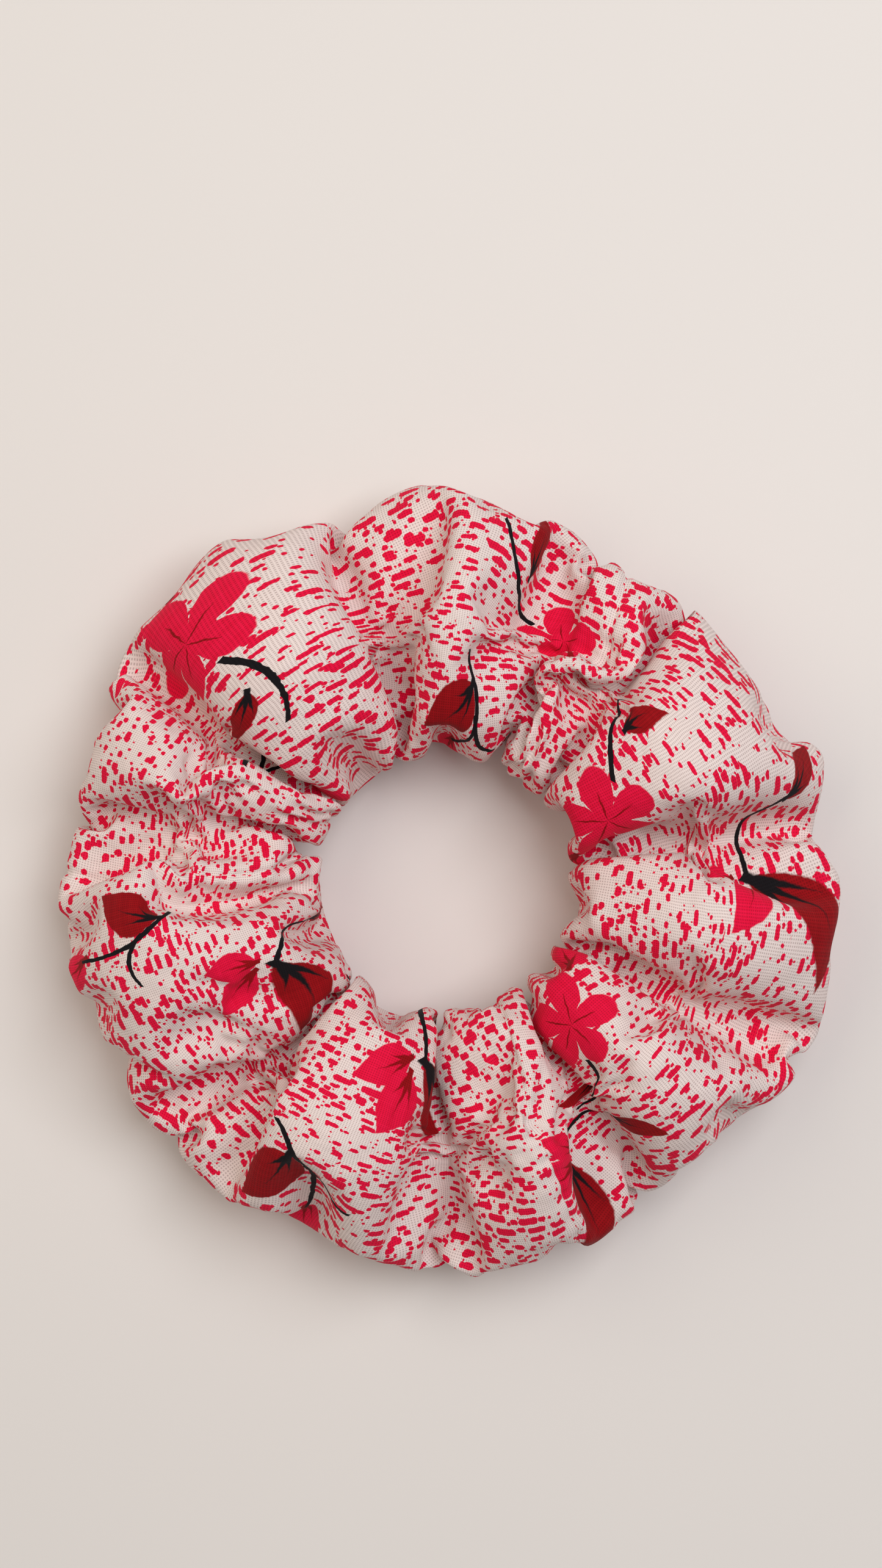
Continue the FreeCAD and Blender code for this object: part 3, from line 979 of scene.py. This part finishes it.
def band_piece(name, start, end, azimuth_of_share):
    """One length of the elastic, from azimuth start to end, in degrees."""
    steps = max(6, round((end - start) * 1.2))
    deselect_all()
    bpy.ops.mesh.primitive_grid_add(x_subdivisions=steps, y_subdivisions=BAND_SECTION, size=1)
    obj = bpy.context.object
    obj.name = obj.data.name = name
    flat = read_points(obj.data)
    share = flat[:, 0] + 0.5
    j = np.rint((flat[:, 1] + 0.5) * BAND_SECTION).astype(int)
    out, up = band_section()
    azimuth = np.radians(start + share * (end - start))
    r = ELASTIC_R + out[j]
    middle_z = (BAND_LOW + BAND_HIGH) / 2
    write_points(obj.data, np.stack([r * np.cos(azimuth), r * np.sin(azimuth), middle_z + up[j]], 1))
    low, high = azimuth_of_share
    stretch = (start + share * (end - start) - low) / (high - low)
    write_attribute(obj.data, "along", "FLOAT", np.clip(stretch, 0, 1))
    merge_doubles(obj)
    bpy.ops.object.mode_set(mode="EDIT")
    bpy.ops.mesh.select_all(action="SELECT")
    bpy.ops.mesh.fill_holes(sides=0)
    bpy.ops.mesh.select_all(action="SELECT")
    bpy.ops.mesh.normals_make_consistent(inside=False)
    bpy.ops.object.mode_set(mode="OBJECT")
    select_only(obj)
    bpy.ops.object.shade_smooth_by_angle(angle=math.radians(50))
    return obj


def stitch_line(name, points, normals, shares, pitch, length, radius):
    """A row of lock stitches along points: one small capsule for each stitch, all in one mesh."""
    deselect_all()
    bpy.ops.mesh.primitive_uv_sphere_add(segments=8, ring_count=6, radius=1.0)
    obj = bpy.context.object
    obj.name = obj.data.name = name
    capsule = read_points(obj.data)
    faces = [tuple(face.vertices) for face in obj.data.polygons]
    run = np.concatenate([[0], np.cumsum(np.linalg.norm(np.diff(points, axis=0), axis=1))])
    count = max(2, int(run[-1] / pitch))
    places = (np.arange(count) + 0.5) / count * run[-1]
    verts, polys, along = [], [], []
    for place in places:
        at, ahead = (np.array([np.interp(place + d, run, points[:, k]) for k in range(3)]) for d in (0, pitch / 4))
        normal = unit(np.array([np.interp(place, run, normals[:, k]) for k in range(3)]))
        forward = unit(ahead - at)
        side = unit(np.cross(normal, forward))
        lift = np.cross(forward, side)
        stretch = capsule[:, 2:3] * (length / 2)
        body = at + stretch * forward + radius * (capsule[:, 0:1] * side + capsule[:, 1:2] * lift)
        polys += [tuple(len(verts) * len(capsule) + v for v in face) for face in faces]
        verts.append(body)
        along.append(np.full(len(capsule), np.interp(place, run, shares)))
    mesh = bpy.data.meshes.new(name)
    mesh.from_pydata(np.concatenate(verts).tolist(), [], polys)
    spare = obj.data
    obj.data = mesh
    bpy.data.meshes.remove(spare)
    mesh.name = name
    write_attribute(mesh, "along", "FLOAT", np.concatenate(along))
    smooth_shade(obj)
    return obj


# --- Settings ---------------------------------------------------------------------------------------
class ScrunchieClothSettings(bpy.types.PropertyGroup):
    """Sizes of the cloth tube, and how it is gathered."""

    length: FloatProperty(name="Tube length", description="The three panels, sewn end to end", default=0.420, unit="LENGTH")
    girth: FloatProperty(name="Tube girth", description="Round the tube, seam to seam", default=0.106, unit="LENGTH")
    thickness: FloatProperty(name="Cloth thickness", description="Of the cotton itself", default=0.0003, unit="LENGTH")
    wave: FloatProperty(name="Puff height", description="How uneven the tube starts, in millimetres", default=7.0)
    bending: FloatProperty(name="Bending stiffness", description="Higher gives broader folds", default=30.0)
    fill_pressure: FloatProperty(name="Fill pressure", description="Opens the tube as it gathers", default=15.0)
    rest_pressure: FloatProperty(name="Rest pressure", description="Left in the puffs at the end", default=5.0)
    frames: IntProperty(name="Frames", description="Steps of the cloth simulation", default=64)


class ScrunchiePrintSettings(bpy.types.PropertyGroup):
    """Colours and weave of the printed cotton."""

    ground: FloatVectorProperty(name="Ground", description="Unprinted cloth", default=(0.87, 0.75, 0.72), subtype="COLOR")
    ground_shade: FloatVectorProperty(name="Ground shade", description="Unprinted cloth, in its darker patches", default=(0.81, 0.68, 0.65), subtype="COLOR")
    ground_dark: FloatVectorProperty(name="Ground thread", description="The darkest thread", default=(0.70, 0.60, 0.55), subtype="COLOR")
    dash: FloatVectorProperty(name="Dashes", description="Crimson pink of the dashes", default=(0.90, 0.006, 0.065), subtype="COLOR")
    dash_shade: FloatVectorProperty(name="Dash shade", description="The dashes' darker threads", default=(0.72, 0.003, 0.035), subtype="COLOR")
    flower: FloatVectorProperty(name="Flowers", description="Hot pink of the petals", default=(0.92, 0.008, 0.07), subtype="COLOR")
    leaf: FloatVectorProperty(name="Leaves", description="Dark red of the leaves", default=(0.36, 0.004, 0.008), subtype="COLOR")
    leaf_shade: FloatVectorProperty(name="Leaf shade", description="The leaves' darker threads", default=(0.24, 0.002, 0.005), subtype="COLOR")
    line: FloatVectorProperty(name="Line work", description="Stems and strokes", default=(0.008, 0.007, 0.009), subtype="COLOR")
    # Painted shade: the gap colour and its depth darken the open gaps between the threads, standing in for the shade
    # inside them.
    gap: FloatVectorProperty(name="Gaps", description="Seen between the threads", default=(0.24, 0.16, 0.15), subtype="COLOR")
    gap_shade_depth: FloatProperty(name="Gap depth", description="How dark the gaps are", default=0.45, subtype="FACTOR")
    pitch_along: FloatProperty(name="Thread pitch along", description="Along the tube", default=0.00041, unit="LENGTH")
    pitch_across: FloatProperty(name="Thread pitch across", description="Round the tube", default=0.00034, unit="LENGTH")


class ScrunchieStageSettings(bpy.types.PropertyGroup):
    """Floor, lamps and camera."""

    floor: FloatVectorProperty(name="Floor", description="Colour of the table", default=(0.80, 0.765, 0.74), subtype="COLOR")
    field: FloatProperty(name="Field", description="Tall side of the view, at the ring", default=0.252, unit="LENGTH")
    distance: FloatProperty(name="Camera height", description="Above the table", default=0.42, unit="LENGTH")
    key: FloatProperty(name="Main lamp", description="Strength, in watts", default=4.9)
    ambient: FloatProperty(name="Room light", description="Strength of the even light", default=0.24)


# --- Operators --------------------------------------------------------------------------------------
shared = {}  # what one operator makes and the next ones use: the settled cloth and the materials


class SCRUNCHIE_OT_materials(bpy.types.Operator):
    """Build the node groups and the finishes"""

    bl_idname = "scrunchie.materials"
    bl_label = "Finishes"

    def execute(self, context):
        for build in (weave_group, dash_group, leaf_group, blossom_group, stem_group, braid_group):
            build()
        shared["elastic"] = elastic_material()
        shared["thread"] = thread_material()
        return {"FINISHED"}


class SCRUNCHIE_OT_cloth(bpy.types.Operator):
    """Gather the cloth tube and divide it into its panels' lengths"""

    bl_idname = "scrunchie.cloth"
    bl_label = "Printed cloth"

    def execute(self, context):
        cloth = settings()
        gathers, grid, normals = settled_cloth()
        columns = body_columns(gathers, grid.shape[0])
        shared.update(grid=grid, normals=normals, columns=columns)
        for number, nodes in enumerate(CLOTH_NODES):
            panel = PANELS[number // SPANS]
            name = f"panel_{panel}_cloth_{number % SPANS + 1}"
            first, last = columns[number], columns[number + 1]
            obj = cloth_piece(name, grid, normals, first, last)
            start, end = (cloth.length / MM * column / grid.shape[0] for column in (first, last))
            obj.data.materials.clear()
            obj.data.materials.append(cotton_material(panel, number % SPANS + 1, start, end))
            blend_by_column(obj, number)
            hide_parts(*nodes)
        return {"FINISHED"}


class SCRUNCHIE_OT_elastic(bpy.types.Operator):
    """Make the loop of flat braided elastic, and finish its sewn lap"""

    bl_idname = "scrunchie.elastic"
    bl_label = "Elastic"

    def execute(self, context):
        middles = []
        for start, end in zip(SEAM_AZIMUTHS, SEAM_AZIMUTHS[1:]):
            middles += [start + (end - start) * k / SPANS for k in range(SPANS)]
        middles.append(SEAM_AZIMUTHS[-1])
        for number in range(len(BODIES) - 1):
            start, end = middles[number], middles[number + 1]
            if number == 0:
                end = LAP_START
            if number == 1:
                start = LAP_END
            obj = band_piece(f"elastic_band_{number + 1}", start, end, (start, end))
            obj.data.materials.append(shared["elastic"])
            blend_by_column(obj, number)
            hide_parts("elastic_length_0" if number == 0 else f"elastic_length_{number + 1}" )
        for node in ("elastic_end_inner", "elastic_end_outer"):
            finish_node(node, shared["elastic"])
        finish_node("elastic_zigzag", shared["thread"])
        return {"FINISHED"}


def finish_node(node, material):
    """Gives a CAD node a better material."""
    mesh = frame["nodes"][node].data
    mesh.materials.clear()
    mesh.materials.append(material)


class SCRUNCHIE_OT_stitching(bpy.types.Operator):
    """Sew the side seam and the three cross seams"""

    bl_idname = "scrunchie.stitching"
    bl_label = "Stitching"

    def execute(self, context):
        grid, normals, columns = shared["grid"], shared["normals"], shared["columns"]
        count, rows = grid.shape[:2]
        row = round(SIDE_SEAM_TURN * rows) % rows
        pitch, length, radius = 2.4 * MM, 1.9 * MM, 0.2 * MM
        sunk = 0.3 * MM
        for number in range(len(BODIES) - 1):
            picked = np.arange(columns[number], columns[number + 1] + 1)
            points, facing = grid[picked % count, row], normals[picked % count, row]
            shares = (picked - picked[0]) / (picked[-1] - picked[0])
            obj = stitch_line(f"side_seam_stitches_{number + 1}", points - sunk * facing, facing, shares, pitch, length, radius)
            obj.data.materials.append(shared["thread"])
            blend_by_column(obj, number)
            nodes = [f"side_thread_{number}"] + (["side_thread_9"] if number == len(BODIES) - 2 else [])
            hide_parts(*nodes)
        for place, (seam, body) in enumerate((("closing", BODIES[0]), ("first", BODIES[3]), ("second", BODIES[6]))):
            column = columns[SPANS * place] % count
            points, facing = grid[column], normals[column]
            points = np.concatenate([points, points[:1]]) - sunk * np.concatenate([facing, facing[:1]])
            facing = np.concatenate([facing, facing[:1]])
            shares = np.zeros(len(points))
            obj = stitch_line(f"{seam}_seam_stitches", points, facing, shares, pitch, length, radius)
            obj.data.attributes.remove(obj.data.attributes["along"])
            obj.data.materials.append(shared["thread"])
            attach(obj, body)
            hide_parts(f"{seam}_seam_thread")
        return {"FINISHED"}


class SCRUNCHIE_OT_stage(bpy.types.Operator):
    """Add the table, the soft lamps and the camera straight above"""

    bl_idname = "scrunchie.stage"
    bl_label = "Stage"

    def execute(self, context):
        stage = context.scene.scrunchie_stage
        deselect_all()
        bpy.ops.mesh.primitive_plane_add(size=4.0, location=(0, 0, 0))
        floor = context.object
        floor.name = "table"
        material = bpy.data.materials.new("table_top")
        material.use_nodes = True
        net = Net(material.node_tree)
        shader = material.node_tree.nodes["Principled BSDF"]
        place = net.add("TexCoord").outputs["Object"]
        cloud = net.noise(place, 9.0, 3.0).outputs[0]
        tint = tuple(x * 0.97 for x in stage.floor)
        material.node_tree.links.new(net.mix(cloud, (*stage.floor, 1), (*tint, 1)), shader.inputs["Base Color"])
        material.node_tree.links.new(net.math("MULTIPLY_ADD", cloud, 0.1, 0.5), shader.inputs["Roughness"])
        shader.inputs["Specular IOR Level"].default_value = 0.2
        floor.data.materials.append(material)

        world = bpy.data.worlds.new("soft room")
        world.use_nodes = True
        background = world.node_tree.nodes["Background"]
        background.inputs["Color"].default_value = (1.0, 0.975, 0.95, 1)
        background.inputs["Strength"].default_value = stage.ambient
        context.scene.world = world
        self.lamp("window_light", (0.26, 0.20, 0.70), 0.50, stage.key * 0.80, (0.985, 0.985, 1.0))
        self.lamp("room_light", (-0.48, 0.20, 0.55), 0.70, stage.key * 0.40, (1.0, 0.87, 0.70))

        ring_middle = (cad_high.z - cad_low.z) / 2
        camera = bpy.data.cameras.new("camera_above")
        camera.lens = camera.sensor_width * (stage.distance - ring_middle) / stage.field
        holder = bpy.data.objects.new("camera_above", camera)
        holder.location = (-0.0005, 0.016, stage.distance)
        context.scene.collection.objects.link(holder)
        context.scene.camera = holder
        context.scene.view_settings.view_transform = "Standard"
        return {"FINISHED"}

    def lamp(self, name, place, size, power, colour):
        """A large square lamp that faces the ring's middle."""
        deselect_all()
        x, y, z = place
        turn = (math.atan2(math.hypot(x, y), z), 0, math.atan2(y, x) + math.pi / 2)
        bpy.ops.object.light_add(type="AREA", location=place, rotation=turn)
        lamp = bpy.context.object
        lamp.name = name
        lamp.data.energy = power
        lamp.data.size = size
        lamp.data.color = colour


class SCRUNCHIE_PT_sidebar(bpy.types.Panel):
    """The scrunchie's steps, in order"""

    bl_idname = "SCRUNCHIE_PT_sidebar"
    bl_label = "Scrunchie"
    bl_space_type = "VIEW_3D"
    bl_region_type = "UI"
    bl_category = "Scrunchie"

    def draw(self, context):
        scene = context.scene
        for group in (scene.scrunchie_cloth, scene.scrunchie_print, scene.scrunchie_stage):
            box = self.layout.box()
            for name in group.bl_rna.properties.keys():
                if name not in ("rna_type", "name"):
                    box.prop(group, name)
        for step in STEPS:
            self.layout.operator(step.bl_idname)


STEPS = (
    SCRUNCHIE_OT_materials,
    SCRUNCHIE_OT_cloth,
    SCRUNCHIE_OT_elastic,
    SCRUNCHIE_OT_stitching,
    SCRUNCHIE_OT_stage,
)
GROUPS = {
    "scrunchie_cloth": ScrunchieClothSettings,
    "scrunchie_print": ScrunchiePrintSettings,
    "scrunchie_stage": ScrunchieStageSettings,
}


def register():
    for kind in (*GROUPS.values(), *STEPS, SCRUNCHIE_PT_sidebar):
        bpy.utils.register_class(kind)
    for name, kind in GROUPS.items():
        setattr(bpy.types.Scene, name, PointerProperty(type=kind))


def unregister():
    for name in GROUPS:
        delattr(bpy.types.Scene, name)
    for kind in (SCRUNCHIE_PT_sidebar, *reversed(STEPS), *reversed(GROUPS.values())):
        bpy.utils.unregister_class(kind)


def clear_default_objects():
    """Removes what a new file starts with, and keeps the frame."""
    ours = {*frame["nodes"].values(), *frame["bodies"].values()}
    for obj in list(bpy.context.scene.objects):
        if obj not in ours:
            bpy.data.objects.remove(obj)


def main():
    register()
    clear_default_objects()
    bpy.ops.scrunchie.materials()
    bpy.ops.scrunchie.cloth()
    bpy.ops.scrunchie.elastic()
    bpy.ops.scrunchie.stitching()
    bpy.ops.scrunchie.stage()


if __name__ == "__main__":
    main()
